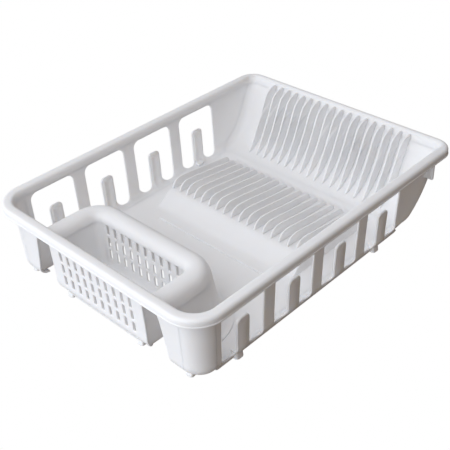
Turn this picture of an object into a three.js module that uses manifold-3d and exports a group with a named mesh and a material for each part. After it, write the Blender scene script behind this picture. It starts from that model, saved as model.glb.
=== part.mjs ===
// Dish drying rack: one white polypropylene tub with side slots, two rows of plate
// fins and a perforated cutlery basket moulded into one end.
// Millimetres, +Z up. X runs along the length, from the cutlery basket (-X) to the
// sloping end (+X). Y runs across. The feet stand on z = 0.
import * as THREE from 'three';
import { mergeVertices } from 'three/addons/utils/BufferGeometryUtils.js';
import Module from 'manifold-3d';

const wasm = await Module();
wasm.setup();

// ---- overall sizes
const LENGTH = 483;
const WIDTH = 363;
const HEIGHT = 102;
const FOOT_HEIGHT = 3;
const FOOT_Y = 160;
const WALL = 2.5;

// ---- rolled rim
const RIM_DROP = 10.3;
const RIM_REACH = 13.15;
const RIM_CORNER = 41.5;
const END_RIM_CORNER = 26;
const RIM_UNDERSIDE = HEIGHT - RIM_DROP;

// ---- tub walls
const FLOOR_BOTTOM = FOOT_HEIGHT;
const FLOOR_TOP = FLOOR_BOTTOM + WALL;
const STRAIGHT_TO = 28;
const DRAFT = 2.8;
const WALL_CORNER = 27;
const END_WALL_CORNER = 11.5;
const ARC_STEPS = 6;

// ---- rounded bottom edge: how far in the wall stands at each height
const BEND_HEIGHTS = [3, 5.5, 8.5, 12, 17.5];
const BEND_INSETS = [5.5, 5.5, 4, 1.5, 0];

// ---- sloping end, inner face (height, distance from centre)
const END_HEIGHTS = [3, 5.5, 8.5, 12, 17.5, 22, 28, 40, 52, 64, 76, 84, 91.7];
const END_INNER = [150, 150, 162, 171, 180.5, 186, 191.8, 200.5, 207, 212.5, 217.8, 221.5, 225.85];
const END_THICK = [5, 5, 5, 4.6, 4, 3.8, 3.5, 3, 2.9, 2.8, 2.7, 2.6, 2.5];

// ---- side slots
const SLOT_COUNT = 4;
const SLOT_FIRST = -158.1;
const SLOT_PITCH = 86.3;
const SLOT_HALF = 33.75;
const SLOT_TOP = 90;
const SLOT_BOTTOM = 8.5;
const SLOT_RADIUS = 10;
const TONGUE_HALF = 10;
const TONGUE_TOP = 59.5;
const TONGUE_RADIUS = 6;

// ---- cutlery basket and the ridge around it
const BASKET_HALF = 80;
const BASKET_BACK = -155;
const BASKET_CORNER = 10;
const BASKET_TAPER = 5;
const RIDGE_WIDTH = 29.5;
const RIDGE_SPRING = 72;
const RIDGE_RISE = 11;
const RIDGE_SPLIT = 71.5;
const LINTEL_BOTTOM = 74;
const DIVIDER_FLARE = 12;
const HOLE_COUNT = 10;
const HOLE_PITCH = 13.8;
const HOLE_WIDTH = 5;
const HOLE_HEIGHT = 14;
const OUTER_ROWS = [64, 46, 28];
const INNER_ROWS = [63.5, 45, 26.5];

// ---- gussets under the rim near the sloping end
const GUSSET_X = 192;
const GUSSET_BOTTOM = 68;

// ---- floor levels along X
const STEP_AT = -40.5;
const STEP_TOP = 6.7;
const RAMP_FOOT = -22;
const RAMP_HEAD = 5;
const PLATE_HALF = 121;
const PLATE_HIGH = 23.5;
const PLATE_END = 121;
const PLATE_LOW = 17;
const VALLEY_START = 140;
const VALLEY_TOP = 8.5;

// ---- fins
const FIN_COUNT = 18;
const FIN_PITCH = 14;
const FIN_THICK = 2.6;
const FIN_FIRST = 2;

const PLASTIC = { color: 0xf1f3f5, roughness: 0.42, metalness: 0 };

function plastic() {
  return new THREE.MeshStandardMaterial(PLASTIC);
}

function named(name, geometry) {
  const mesh = new THREE.Mesh(geometry, plastic());
  mesh.name = name;
  return mesh;
}

// ---- solids --------------------------------------------------------------

function signedVolume(positions, index) {
  let total = 0;
  for (let i = 0; i < index.length; i += 3) {
    const a = index[i] * 3;
    const b = index[i + 1] * 3;
    const c = index[i + 2] * 3;
    total += positions[a] * (positions[b + 1] * positions[c + 2] - positions[b + 2] * positions[c + 1]);
    total -= positions[a + 1] * (positions[b] * positions[c + 2] - positions[b + 2] * positions[c]);
    total += positions[a + 2] * (positions[b] * positions[c + 1] - positions[b + 1] * positions[c]);
  }
  return total / 6;
}

function solidFrom(positions, index) {
  if (signedVolume(positions, index) < 0) {
    for (let i = 0; i < index.length; i += 3) {
      const swap = index[i];
      index[i] = index[i + 1];
      index[i + 1] = swap;
    }
  }
  const geometry = new THREE.BufferGeometry();
  geometry.setAttribute('position', new THREE.Float32BufferAttribute(positions, 3));
  geometry.setIndex(index);
  return geometry;
}

// A thick sheet between two matching grids of points; a ring closes on itself.
function sheetSolid(front, back, ring) {
  const rows = front.length;
  const columns = front[0].length;
  const positions = [];
  [front, back].forEach((grid) => {
    grid.forEach((row) => row.forEach((p) => positions.push(p.x, p.y, p.z)));
  });
  const at = (side, j, i) => side * rows * columns + (j % rows) * columns + i;
  const index = [];
  const quad = (a, b, c, d) => {
    index.push(a, b, c);
    index.push(a, c, d);
  };
  const spans = ring ? rows : rows - 1;
  for (let j = 0; j < spans; j += 1) {
    for (let i = 0; i < columns - 1; i += 1) {
      quad(at(0, j, i), at(0, j + 1, i), at(0, j + 1, i + 1), at(0, j, i + 1));
      quad(at(1, j, i), at(1, j, i + 1), at(1, j + 1, i + 1), at(1, j + 1, i));
    }
    quad(at(0, j, 0), at(1, j, 0), at(1, j + 1, 0), at(0, j + 1, 0));
    const top = columns - 1;
    quad(at(0, j, top), at(0, j + 1, top), at(1, j + 1, top), at(1, j, top));
  }
  if (!ring) {
    const last = rows - 1;
    for (let i = 0; i < columns - 1; i += 1) {
      quad(at(0, 0, i), at(0, 0, i + 1), at(1, 0, i + 1), at(1, 0, i));
      quad(at(0, last, i), at(1, last, i), at(1, last, i + 1), at(0, last, i + 1));
    }
  }
  return solidFrom(positions, index);
}

function toManifold(geometry) {
  const bare = new THREE.BufferGeometry();
  bare.setAttribute('position', geometry.getAttribute('position').clone());
  if (geometry.index) {
    bare.setIndex(geometry.index.clone());
  }
  const merged = mergeVertices(bare, 1e-4);
  const mesh = new wasm.Mesh({
    numProp: 3,
    vertProperties: new Float32Array(merged.getAttribute('position').array),
    triVerts: new Uint32Array(merged.index.array),
  });
  return new wasm.Manifold(mesh);
}

function fromManifold(manifold) {
  const mesh = manifold.getMesh();
  const geometry = new THREE.BufferGeometry();
  geometry.setAttribute('position', new THREE.BufferAttribute(new Float32Array(mesh.vertProperties), 3));
  geometry.setIndex(new THREE.BufferAttribute(new Uint32Array(mesh.triVerts), 1));
  return geometry;
}

// Upright prism: a plan outline raised from one height to another.
function uprightPrism(points, from, to) {
  const shape = new THREE.Shape(points.map((p) => new THREE.Vector2(p[0], p[1])));
  const geometry = new THREE.ExtrudeGeometry(shape, { depth: to - from, bevelEnabled: false });
  geometry.translate(0, 0, from);
  return geometry;
}

// Prism across the rack: an outline in X and Z, run from one Y to another.
function crossPrism(points, from, to) {
  const shape = new THREE.Shape(points.map((p) => new THREE.Vector2(p[0], p[1])));
  const geometry = new THREE.ExtrudeGeometry(shape, { depth: to - from, bevelEnabled: false });
  geometry.rotateX(Math.PI / 2);
  geometry.translate(0, to, 0);
  return geometry;
}

function box(x0, x1, y0, y1, z0, z1) {
  const geometry = new THREE.BoxGeometry(x1 - x0, y1 - y0, z1 - z0);
  geometry.translate((x0 + x1) / 2, (y0 + y1) / 2, (z0 + z1) / 2);
  return geometry;
}

// Quarter circle from one angle to another, both ends included.
function arcPoints(cx, cy, radiusX, radiusY, fromDegrees, toDegrees, steps) {
  const points = [];
  for (let i = 0; i <= steps; i += 1) {
    const angle = THREE.MathUtils.degToRad(fromDegrees + ((toDegrees - fromDegrees) * i) / steps);
    points.push([cx + radiusX * Math.cos(angle), cy + radiusY * Math.sin(angle)]);
  }
  return points;
}

// ---- wall positions --------------------------------------------------------

// The walls stand upright low down, then lean outwards to the rim.
function lean(z) {
  return z <= STRAIGHT_TO ? 0 : (DRAFT * (z - STRAIGHT_TO)) / (RIM_UNDERSIDE - STRAIGHT_TO);
}

// The bottom edge is rounded, so the lowest part of every wall stands further in.
function bend(z) {
  for (let i = 1; i < BEND_HEIGHTS.length; i += 1) {
    if (z <= BEND_HEIGHTS[i]) {
      const share = (z - BEND_HEIGHTS[i - 1]) / (BEND_HEIGHTS[i] - BEND_HEIGHTS[i - 1]);
      return BEND_INSETS[i - 1] + share * (BEND_INSETS[i] - BEND_INSETS[i - 1]);
    }
  }
  return 0;
}

// The divider spreads outwards from the ridge down to the floor.
function flare(z) {
  return DIVIDER_FLARE * Math.max(0, (RIDGE_SPLIT - z) / (RIDGE_SPLIT - FLOOR_TOP));
}

function sideOuter(z) {
  return WIDTH / 2 - RIM_REACH - DRAFT + lean(z) - bend(z);
}

function basketEndOuter(z) {
  return -(LENGTH / 2 - RIM_REACH - DRAFT + lean(z) - bend(z));
}

const LEVELS = END_HEIGHTS.length;

function slopeOuter(i) {
  return END_INNER[i] + END_THICK[i];
}

// ---- rolled rim --------------------------------------------------------------

function rimPath(inset) {
  const corner = (alongX, alongY, size, from) => {
    const x = alongX * (LENGTH / 2 - size);
    const y = alongY * (WIDTH / 2 - size);
    return arcPoints(x, y, size - inset, size - inset, from, from + 90, ARC_STEPS);
  };
  return [
    ...corner(1, 1, END_RIM_CORNER, 0),
    ...corner(-1, 1, RIM_CORNER, 90),
    ...corner(-1, -1, RIM_CORNER, 180),
    ...corner(1, -1, END_RIM_CORNER, 270),
  ];
}

function rolledRim() {
  const inner = RIM_REACH + WALL;
  const skin = [
    [0, RIM_UNDERSIDE],
    [0, HEIGHT - 5.5],
    [1.4, HEIGHT - 2],
    [4.6, HEIGHT],
    [9.4, HEIGHT],
    [12.6, HEIGHT - 1.6],
    [inner, HEIGHT - 4.6],
    [inner, RIM_UNDERSIDE],
  ];
  const lining = [
    [WALL, RIM_UNDERSIDE],
    [WALL, HEIGHT - 5.8],
    [3.3, HEIGHT - 3.7],
    [5.2, HEIGHT - WALL],
    [8.8, HEIGHT - WALL],
    [10.8, HEIGHT - 3.6],
    [RIM_REACH, HEIGHT - 5.2],
    [RIM_REACH, RIM_UNDERSIDE],
  ];
  const grid = (profile) => {
    const columns = profile.map(([inset, z]) => rimPath(inset).map(([x, y]) => new THREE.Vector3(x, y, z)));
    return columns[0].map((unused, j) => columns.map((column) => column[j]));
  };
  return sheetSolid(grid(skin), grid(lining), true);
}

// ---- side walls ----------------------------------------------------------------

const POST_X = -(LENGTH / 2 - RIM_REACH - DRAFT) + WALL_CORNER;

function slotOutline(centre) {
  const left = centre - SLOT_HALF;
  const right = centre + SLOT_HALF;
  const r = SLOT_RADIUS;
  const q = TONGUE_RADIUS;
  return [
    ...arcPoints(left + r, SLOT_TOP - r, r, r, 180, 90, 4),
    ...arcPoints(right - r, SLOT_TOP - r, r, r, 90, 0, 4),
    ...arcPoints(right - r, SLOT_BOTTOM + r, r, r, 0, -90, 4),
    ...arcPoints(centre + TONGUE_HALF + r, SLOT_BOTTOM + r, r, r, 270, 180, 4),
    ...arcPoints(centre + TONGUE_HALF - q, TONGUE_TOP - q, q, q, 0, 90, 3),
    ...arcPoints(centre - TONGUE_HALF + q, TONGUE_TOP - q, q, q, 90, 180, 3),
    ...arcPoints(centre - TONGUE_HALF - r, SLOT_BOTTOM + r, r, r, 0, -90, 4),
    ...arcPoints(left + r, SLOT_BOTTOM + r, r, r, 270, 180, 4),
  ];
}

function sideWall(side) {
  const row = (depth, atEnd) => END_HEIGHTS.map((z, i) => {
    const x = atEnd ? slopeOuter(i) - END_WALL_CORNER : POST_X;
    return new THREE.Vector3(x, side * (sideOuter(z) - depth), z);
  });
  const inner = [row(0, false), row(0, true)];
  const outer = [row(WALL, false), row(WALL, true)];
  let wall = toManifold(sheetSolid(inner, outer, false));
  for (let n = 0; n < SLOT_COUNT; n += 1) {
    const outline = slotOutline(SLOT_FIRST + n * SLOT_PITCH);
    const near = side * (WIDTH / 2 - RIM_REACH);
    wall = wall.subtract(toManifold(crossPrism(outline, near - 12, near + 12)));
  }
  return fromManifold(wall);
}

// ---- sloping end wall with its two rounded corners -----------------------------------

function slopePath(i, depth) {
  const outer = slopeOuter(i);
  const cx = outer - END_WALL_CORNER;
  const cy = sideOuter(END_HEIGHTS[i]) - END_WALL_CORNER;
  const rx = END_WALL_CORNER - (depth > 0 ? END_THICK[i] : 0);
  const ry = END_WALL_CORNER - depth;
  return [
    ...arcPoints(cx, cy, rx, ry, 90, 0, ARC_STEPS),
    ...arcPoints(cx, -cy, rx, ry, 0, -90, ARC_STEPS),
  ];
}

function slopingEndWall() {
  const grid = (depth) => {
    const columns = END_HEIGHTS.map((z, i) => {
      return slopePath(i, depth).map(([x, y]) => new THREE.Vector3(x, y, z));
    });
    return columns[0].map((unused, j) => columns.map((column) => column[j]));
  };
  return sheetSolid(grid(0), grid(WALL), false);
}

// ---- corner posts at the basket end ---------------------------------------------------

function cornerPost(side) {
  const heights = [...BEND_HEIGHTS, STRAIGHT_TO, RIDGE_SPLIT, RIM_UNDERSIDE];
  const edge = BASKET_HALF + RIDGE_WIDTH - WALL;
  const path = (z, depth) => {
    const cx = POST_X;
    const cy = sideOuter(z) - WALL_CORNER;
    const rx = WALL_CORNER + (POST_X - WALL_CORNER - basketEndOuter(z)) - depth;
    const arc = arcPoints(cx, cy, rx, WALL_CORNER - depth, 90, 180, ARC_STEPS);
    arc.push([cx - rx, edge + flare(z)]);
    return arc.map(([x, y]) => new THREE.Vector3(x, side * y, z));
  };
  const grid = (depth) => {
    const columns = heights.map((z) => path(z, depth));
    return columns[0].map((unused, j) => columns.map((column) => column[j]));
  };
  return sheetSolid(grid(0), grid(WALL), false);
}

// ---- horseshoe paths round the basket ------------------------------------------------

// The horseshoe pieces stop against the inside of the leaning end wall.
function shellStart(z) {
  return basketEndOuter(z) + WALL + 0.05;
}

// Plan line a set distance outside the basket's inner faces, open towards -X.
function horseshoe(offset, startX) {
  const r = BASKET_CORNER + offset;
  const x = BASKET_BACK + offset - r;
  const y = BASKET_HALF + offset - r;
  return [
    [startX, BASKET_HALF + offset],
    ...arcPoints(x, y, r, r, 90, 0, ARC_STEPS),
    ...arcPoints(x, -y, r, r, 0, -90, ARC_STEPS),
    [startX, -(BASKET_HALF + offset)],
  ];
}

function horseshoeSheet(skin, lining) {
  const grid = (profile) => {
    const columns = profile.map(([offset, z]) => {
      return horseshoe(offset, shellStart(z)).map(([x, y]) => new THREE.Vector3(x, y, z));
    });
    return columns[0].map((unused, j) => columns.map((column) => column[j]));
  };
  return sheetSolid(grid(skin), grid(lining), false);
}

// Inverted-U cap that joins the basket to the tub on three sides.
function dividerRidge() {
  const half = RIDGE_WIDTH / 2;
  const arch = (shrink) => {
    const points = [[shrink, RIDGE_SPLIT]];
    for (let i = 0; i <= 8; i += 1) {
      const angle = Math.PI - (Math.PI * i) / 8;
      points.push([
        half + (half - shrink) * Math.cos(angle),
        RIDGE_SPRING + (RIDGE_RISE - shrink) * Math.sin(angle),
      ]);
    }
    points.push([RIDGE_WIDTH - shrink, RIDGE_SPLIT]);
    return points;
  };
  return horseshoeSheet(arch(0), arch(WALL));
}

// Wall on the tub side of the channel, from the floor up to the ridge.
function dividerWall() {
  const heights = [...BEND_HEIGHTS, STRAIGHT_TO, RIDGE_SPLIT];
  const out = heights.map((z) => [RIDGE_WIDTH + flare(z) + bend(z), z]);
  const back = heights.map((z) => [RIDGE_WIDTH + flare(z) + bend(z) - WALL, z]);
  return horseshoeSheet(out, back);
}

// ---- cutlery basket --------------------------------------------------------------

function holeCutters(rows, x0, x1) {
  const cutters = [];
  for (let n = 0; n < HOLE_COUNT; n += 1) {
    const y = (n - (HOLE_COUNT - 1) / 2) * HOLE_PITCH;
    rows.forEach((z) => {
      const half = HOLE_HEIGHT / 2;
      cutters.push(box(x0, x1, y - HOLE_WIDTH / 2, y + HOLE_WIDTH / 2, z - half, z + half));
    });
  }
  return cutters;
}

function perforate(geometry, cutters) {
  let body = toManifold(geometry);
  cutters.forEach((cutter) => {
    body = body.subtract(toManifold(cutter));
  });
  return fromManifold(body);
}

// Outer wall of the basket, with a strip each side that closes the end above the channel.
function basketOuterWall() {
  const rim = BASKET_HALF + WALL;
  const foot = rim - BASKET_TAPER;
  const heights = [...BEND_HEIGHTS, STRAIGHT_TO, RIM_UNDERSIDE];
  const row = (y0, y1, depth) => heights.map((z) => {
    const share = (z - FLOOR_BOTTOM) / (RIM_UNDERSIDE - FLOOR_BOTTOM);
    return new THREE.Vector3(basketEndOuter(z) + depth, y0 + (y1 - y0) * share, z);
  });
  const front = [row(-foot, -rim, 0), row(foot, rim, 0)];
  const back = [row(-foot, -rim, WALL), row(foot, rim, WALL)];
  let wall = toManifold(sheetSolid(front, back, false));
  const reach = BASKET_HALF + RIDGE_WIDTH - WALL;
  const strip = (y, depth) => [LINTEL_BOTTOM, RIM_UNDERSIDE].map((z) => {
    return new THREE.Vector3(basketEndOuter(z) + depth, y, z);
  });
  const lintelFace = [strip(-reach, 0), strip(reach, 0)];
  const lintelBack = [strip(-reach, WALL), strip(reach, WALL)];
  const lintel = sheetSolid(lintelFace, lintelBack, false);
  wall = wall.add(toManifold(lintel));
  holeCutters(OUTER_ROWS, -235, -215).forEach((cutter) => {
    wall = wall.subtract(toManifold(cutter));
  });
  return fromManifold(wall);
}

const BASKET_INSIDE = basketEndOuter(FLOOR_BOTTOM) + WALL;

function basketInnerWall() {
  const corner = BASKET_HALF - BASKET_CORNER;
  const slab = box(BASKET_BACK, BASKET_BACK + WALL, -corner, corner, FLOOR_BOTTOM, RIDGE_SPLIT);
  return perforate(slab, holeCutters(INNER_ROWS, BASKET_BACK - 5, BASKET_BACK + WALL + 5));
}

function basketFlank(side) {
  const heights = [...BEND_HEIGHTS, STRAIGHT_TO, RIDGE_SPLIT];
  const line = (offset, startX) => {
    const r = BASKET_CORNER + offset;
    const x = BASKET_BACK + offset - r;
    const y = BASKET_HALF + offset - r;
    return [[startX, y + r], ...arcPoints(x, y, r, r, 90, 0, ARC_STEPS)];
  };
  const grid = (offset) => {
    const columns = heights.map((z) => {
      return line(offset, shellStart(z)).map(([x, y]) => new THREE.Vector3(x, side * y, z));
    });
    return columns[0].map((unused, j) => columns.map((column) => column[j]));
  };
  return sheetSolid(grid(WALL), grid(0), false);
}

function basketFloor() {
  const corner = BASKET_CORNER;
  const outline = [
    [BASKET_INSIDE, BASKET_HALF],
    ...arcPoints(BASKET_BACK - corner, BASKET_HALF - corner, corner, corner, 90, 0, ARC_STEPS),
    ...arcPoints(BASKET_BACK - corner, -(BASKET_HALF - corner), corner, corner, 0, -90, ARC_STEPS),
    [BASKET_INSIDE, -BASKET_HALF],
  ];
  return uprightPrism(outline, FLOOR_BOTTOM, FLOOR_TOP);
}

// ---- tub floor --------------------------------------------------------------------

const FLOOR_EDGE = sideOuter(FLOOR_BOTTOM) - WALL;

// Low floor: the well beside the basket, and a gutter along each side of the plate floor.
function wellFloor() {
  const y = FLOOR_EDGE;
  const left = basketEndOuter(FLOOR_BOTTOM) + WALL;
  const foot = RIDGE_WIDTH + flare(FLOOR_BOTTOM) + bend(FLOOR_BOTTOM);
  const notch = horseshoe(foot, left);
  const r = WALL_CORNER - WALL - bend(FLOOR_BOTTOM);
  const ry = WALL_CORNER - WALL;
  const outline = [
    [PLATE_END, PLATE_HALF],
    [PLATE_END, y],
    ...arcPoints(left + r, y - ry, r, ry, 90, 180, ARC_STEPS),
    ...notch,
    ...arcPoints(left + r, -(y - ry), r, ry, 180, 270, ARC_STEPS),
    [PLATE_END, -y],
    [PLATE_END, -PLATE_HALF],
    [RAMP_FOOT, -PLATE_HALF],
    [RAMP_FOOT, PLATE_HALF],
  ];
  let floor = toManifold(uprightPrism(outline, FLOOR_BOTTOM, FLOOR_TOP));
  const step = box(STEP_AT, RAMP_FOOT, -PLATE_HALF, PLATE_HALF, FLOOR_BOTTOM, STEP_TOP);
  floor = floor.add(toManifold(step));
  return fromManifold(floor);
}

// Two upright end plates that close a raised part of the floor against the gutters.
function withEndPlates(sheet, outline) {
  let body = toManifold(sheet);
  [-PLATE_HALF, PLATE_HALF - WALL].forEach((y) => {
    body = body.add(toManifold(crossPrism(outline, y, y + WALL)));
  });
  return body;
}

function floorRamp() {
  const outline = [
    [RAMP_FOOT, FLOOR_BOTTOM],
    [RAMP_HEAD, PLATE_HIGH - WALL],
    [RAMP_HEAD, PLATE_HIGH],
    [RAMP_FOOT, STEP_TOP],
  ];
  const plate = [
    [RAMP_FOOT, FLOOR_BOTTOM],
    [RAMP_HEAD, FLOOR_BOTTOM],
    [RAMP_HEAD, PLATE_HIGH],
    [RAMP_FOOT, STEP_TOP],
  ];
  return fromManifold(withEndPlates(crossPrism(outline, -PLATE_HALF, PLATE_HALF), plate));
}

// Raised floor under the plate fins, falling to the valley at the sloping end.
function plateFloor() {
  const end = END_INNER[0];
  const valley = [
    [VALLEY_START, VALLEY_TOP - WALL],
    [end, FLOOR_BOTTOM],
    [end, FLOOR_TOP],
    [VALLEY_START, VALLEY_TOP],
  ];
  const raised = [
    [RAMP_HEAD, PLATE_HIGH - WALL],
    [PLATE_END, PLATE_LOW - WALL],
    ...valley,
    [PLATE_END, PLATE_LOW],
    [RAMP_HEAD, PLATE_HIGH],
  ];
  const plate = [
    [RAMP_HEAD, FLOOR_BOTTOM],
    [PLATE_END, FLOOR_BOTTOM],
    [VALLEY_START, VALLEY_TOP - WALL],
    [VALLEY_START, VALLEY_TOP],
    [PLATE_END, PLATE_LOW],
    [RAMP_HEAD, PLATE_HIGH],
  ];
  const low = [[PLATE_END, FLOOR_BOTTOM], ...valley, [PLATE_END, FLOOR_TOP]];
  let slab = withEndPlates(crossPrism(raised, -PLATE_HALF, PLATE_HALF), plate);
  slab = slab.add(toManifold(crossPrism(low, -FLOOR_EDGE, FLOOR_EDGE)));
  const corners = slopePath(0, WALL);
  const plan = [[RAMP_HEAD - 5, FLOOR_EDGE], ...corners, [RAMP_HEAD - 5, -FLOOR_EDGE]];
  return fromManifold(slab.intersect(toManifold(uprightPrism(plan, 0, 40))));
}

function plateHeight(x) {
  return PLATE_HIGH + ((PLATE_LOW - PLATE_HIGH) * (x - RAMP_HEAD)) / (PLATE_END - RAMP_HEAD);
}

// ---- fins ----------------------------------------------------------------------------

function plateFin(y) {
  const outline = [
    [5.2, plateHeight(5.2)],
    [120, plateHeight(120)],
    [119.5, 20.5],
    [117, 23.3],
    [112, 25.3],
    [99, 27.4],
    [57, 32.7],
    [37, 35.2],
    [27, 36.2],
    [19, 36.3],
    [13, 35],
    [9.2, 32],
    [7.3, 28],
    [6.2, 26],
  ];
  return crossPrism(outline, y - FIN_THICK / 2, y + FIN_THICK / 2);
}

function endFin(y) {
  const base = [];
  for (let i = FIN_FIRST; i < LEVELS; i += 1) {
    base.push([END_INNER[i], END_HEIGHTS[i]]);
  }
  const outline = [
    ...base,
    [END_INNER[LEVELS - 1], HEIGHT - 4.6],
    [225.5, HEIGHT - 1.6],
    [219, HEIGHT - 2.6],
    [212, HEIGHT - 4.8],
    [207.4, HEIGHT - 8.6],
    [202, 84],
    [197, 73.5],
    [191, 60],
    [186.5, 50],
    [181, 40],
    [174.5, 27],
    [170, 19],
    [165.6, 12.4],
  ];
  return crossPrism(outline, y - FIN_THICK / 2, y + FIN_THICK / 2);
}

// ---- feet ---------------------------------------------------------------------------

function foot(x, y, lengthX, lengthY) {
  const w = lengthX / 2;
  const d = lengthY / 2;
  const r = Math.min(w, d) * 0.8;
  const outline = [
    ...arcPoints(x + w - r, y + d - r, r, r, 0, 90, 3),
    ...arcPoints(x - w + r, y + d - r, r, r, 90, 180, 3),
    ...arcPoints(x - w + r, y - d + r, r, r, 180, 270, 3),
    ...arcPoints(x + w - r, y - d + r, r, r, 270, 360, 3),
  ];
  return uprightPrism(outline, 0, FOOT_HEIGHT);
}

// Upright web under the rim, between the side wall and the skirt.
function rimGusset(side) {
  const points = [
    [sideOuter(GUSSET_BOTTOM), GUSSET_BOTTOM],
    [WIDTH / 2 - WALL, GUSSET_BOTTOM],
    [WIDTH / 2 - WALL, HEIGHT - 6],
    [WIDTH / 2 - RIM_REACH, HEIGHT - 6],
    [WIDTH / 2 - RIM_REACH, RIM_UNDERSIDE],
  ];
  const shape = new THREE.Shape(points.map(([y, z]) => new THREE.Vector2(side * y, z)));
  const geometry = new THREE.ExtrudeGeometry(shape, { depth: WALL, bevelEnabled: false });
  const toUpright = new THREE.Matrix4().set(0, 0, 1, GUSSET_X, 1, 0, 0, 0, 0, 1, 0, 0, 0, 0, 0, 1);
  geometry.applyMatrix4(toUpright);
  return geometry;
}

// ---- assembly --------------------------------------------------------------------------

function two(n) {
  return String(n).padStart(2, '0');
}

function build() {
  const rack = new THREE.Group();
  rack.name = 'dish_drying_rack';
  const add = (name, geometry) => rack.add(named(name, geometry));

  add('rolled_rim', rolledRim());
  add('near_side_wall', sideWall(-1));
  add('far_side_wall', sideWall(1));
  add('sloping_end_wall', slopingEndWall());
  add('near_corner_post', cornerPost(-1));
  add('far_corner_post', cornerPost(1));
  add('divider_ridge', dividerRidge());
  add('divider_wall', dividerWall());
  add('basket_outer_wall', basketOuterWall());
  add('basket_inner_wall', basketInnerWall());
  add('basket_near_flank', basketFlank(-1));
  add('basket_far_flank', basketFlank(1));
  add('basket_floor', basketFloor());
  add('well_floor', wellFloor());
  add('floor_ramp', floorRamp());
  add('plate_floor', plateFloor());
  for (let n = 0; n < FIN_COUNT; n += 1) {
    const y = (n - (FIN_COUNT - 1) / 2) * FIN_PITCH;
    add(`plate_fin_${two(n + 1)}`, plateFin(y));
    add(`end_fin_${two(n + 1)}`, endFin(y));
  }
  [['near', -1], ['far', 1]].forEach(([word, side]) => {
    add(`foot_${word}_basket`, foot(-162, side * FOOT_Y, 12, 10));
    add(`foot_${word}_slope`, foot(96, side * FOOT_Y, 12, 10));
    add(`foot_${word}_corner`, foot(-216.5, side * 141, 8, 10));
    add(`rim_gusset_${word}`, rimGusset(side));
  });
  return rack;
}

export default build();
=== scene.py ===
"""Looks of the dish drying rack: one white polypropylene moulding, seen in soft light.

Sizes are in millimetres here and become metres when a piece is made. The pieces meet edge to
edge along flat stretches, so that together they read as a single moulding.
"""
import math

import bmesh
import bpy
import numpy as np
from mathutils import Matrix, Vector
from mathutils.geometry import delaunay_2d_cdt


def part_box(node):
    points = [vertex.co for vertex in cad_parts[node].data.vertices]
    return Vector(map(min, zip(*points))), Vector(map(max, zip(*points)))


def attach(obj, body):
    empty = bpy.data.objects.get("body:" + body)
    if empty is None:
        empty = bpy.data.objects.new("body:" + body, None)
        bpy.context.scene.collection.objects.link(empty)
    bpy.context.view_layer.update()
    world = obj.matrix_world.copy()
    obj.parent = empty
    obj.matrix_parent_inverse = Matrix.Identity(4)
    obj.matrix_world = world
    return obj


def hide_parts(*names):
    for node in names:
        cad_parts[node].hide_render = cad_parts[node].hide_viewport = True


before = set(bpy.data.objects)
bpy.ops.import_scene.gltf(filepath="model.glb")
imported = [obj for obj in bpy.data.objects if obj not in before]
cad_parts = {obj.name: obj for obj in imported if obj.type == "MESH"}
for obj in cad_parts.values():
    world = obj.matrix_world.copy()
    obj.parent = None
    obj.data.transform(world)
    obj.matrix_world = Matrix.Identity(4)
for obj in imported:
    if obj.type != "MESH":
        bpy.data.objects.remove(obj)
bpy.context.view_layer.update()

MM = 0.001


def cad_box(node):
    low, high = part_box(node)
    return low / MM, high / MM


# ---- driving sizes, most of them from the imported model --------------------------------

RIM_BOX = cad_box("rolled_rim")
SIDE_BOX = cad_box("far_side_wall")
RIDGE_BOX = cad_box("divider_ridge")
INNER_BOX = cad_box("basket_inner_wall")

HALF_LENGTH = RIM_BOX[1].x
HALF_WIDTH = RIM_BOX[1].y
TOP = RIM_BOX[1].z
UNDERSIDE = RIM_BOX[0].z
BASE = SIDE_BOX[0].z
RIM_REACH = HALF_WIDTH - SIDE_BOX[1].y
RIM_CORNER = 41.5
END_RIM_CORNER = 26.0
LEAST_CORNER = 6.0
WALL = 2.5
DRAFT = 2.8
STRAIGHT_TO = 28.0
FLOOR = BASE + WALL
BEND = 12.0
SIDE_TOP = HALF_WIDTH - RIM_REACH
END_TOP = HALF_LENGTH - RIM_REACH
CORNER_X = HALF_LENGTH - RIM_CORNER
CORNER_Y = HALF_WIDTH - RIM_CORNER

# side slots
SLOT_COUNT = 4
SLOT_FIRST = -158.1
SLOT_PITCH = 86.3
SLOT_HALF = 33.75
SLOT_TOP = 90.0
SLOT_LOW = 8.7
SLOT_RADIUS = 10.0
TONGUE_HALF = 10.0
TONGUE_TOP = 60.3
TONGUE_RADIUS = 6.0

# basket and ridge
BASKET_BACK = INNER_BOX[0].x
BASKET_HALF = RIDGE_BOX[1].y - 29.5
BASKET_CORNER = 10.0
BASKET_BEND = 7.5
RIDGE_WIDTH = RIDGE_BOX[1].x - BASKET_BACK
RIDGE_TOP = RIDGE_BOX[1].z
RIDGE_SPLIT = 66.0
BASKET_SPLIT = 71.0
LINTEL_BOTTOM = 74.0
DIVIDER_FLARE = 12.5
HOLE_COUNT = 10
HOLE_PITCH = 13.8
HOLE_HALF = (2.4, 7.0)
HOLE_RADIUS = 1.3
OUTER_ROWS = (64.0, 46.0, 28.0)
INNER_ROWS = (64.2, 45.2, 26.5)

# floor levels
PLATE_HALF = 121.0
RAMP_FOOT = -25.0
RAMP_HEAD = 5.0
PLATE_HIGH = 23.5
PLATE_END = 121.0
PLATE_LOW = 17.0
VALLEY_AT = 143.0
FALL_FROM = -67.0
STEP_AT = -40.5
END_START = 150.0
END_CURVE = (
    (150.0, 9.2), (160.0, 10.4), (168.0, 11.9), (174.5, 14.2), (180.5, 17.8), (186.0, 22.3),
    (191.8, 28.4), (200.5, 40.0), (207.0, 52.0), (212.5, 64.0), (217.8, 76.0), (221.5, 84.0),
    (HALF_LENGTH - RIM_REACH - WALL, UNDERSIDE),
)

EDGE_ROUND = 0.8
GUSSET_BOTTOM = 68.0


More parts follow.
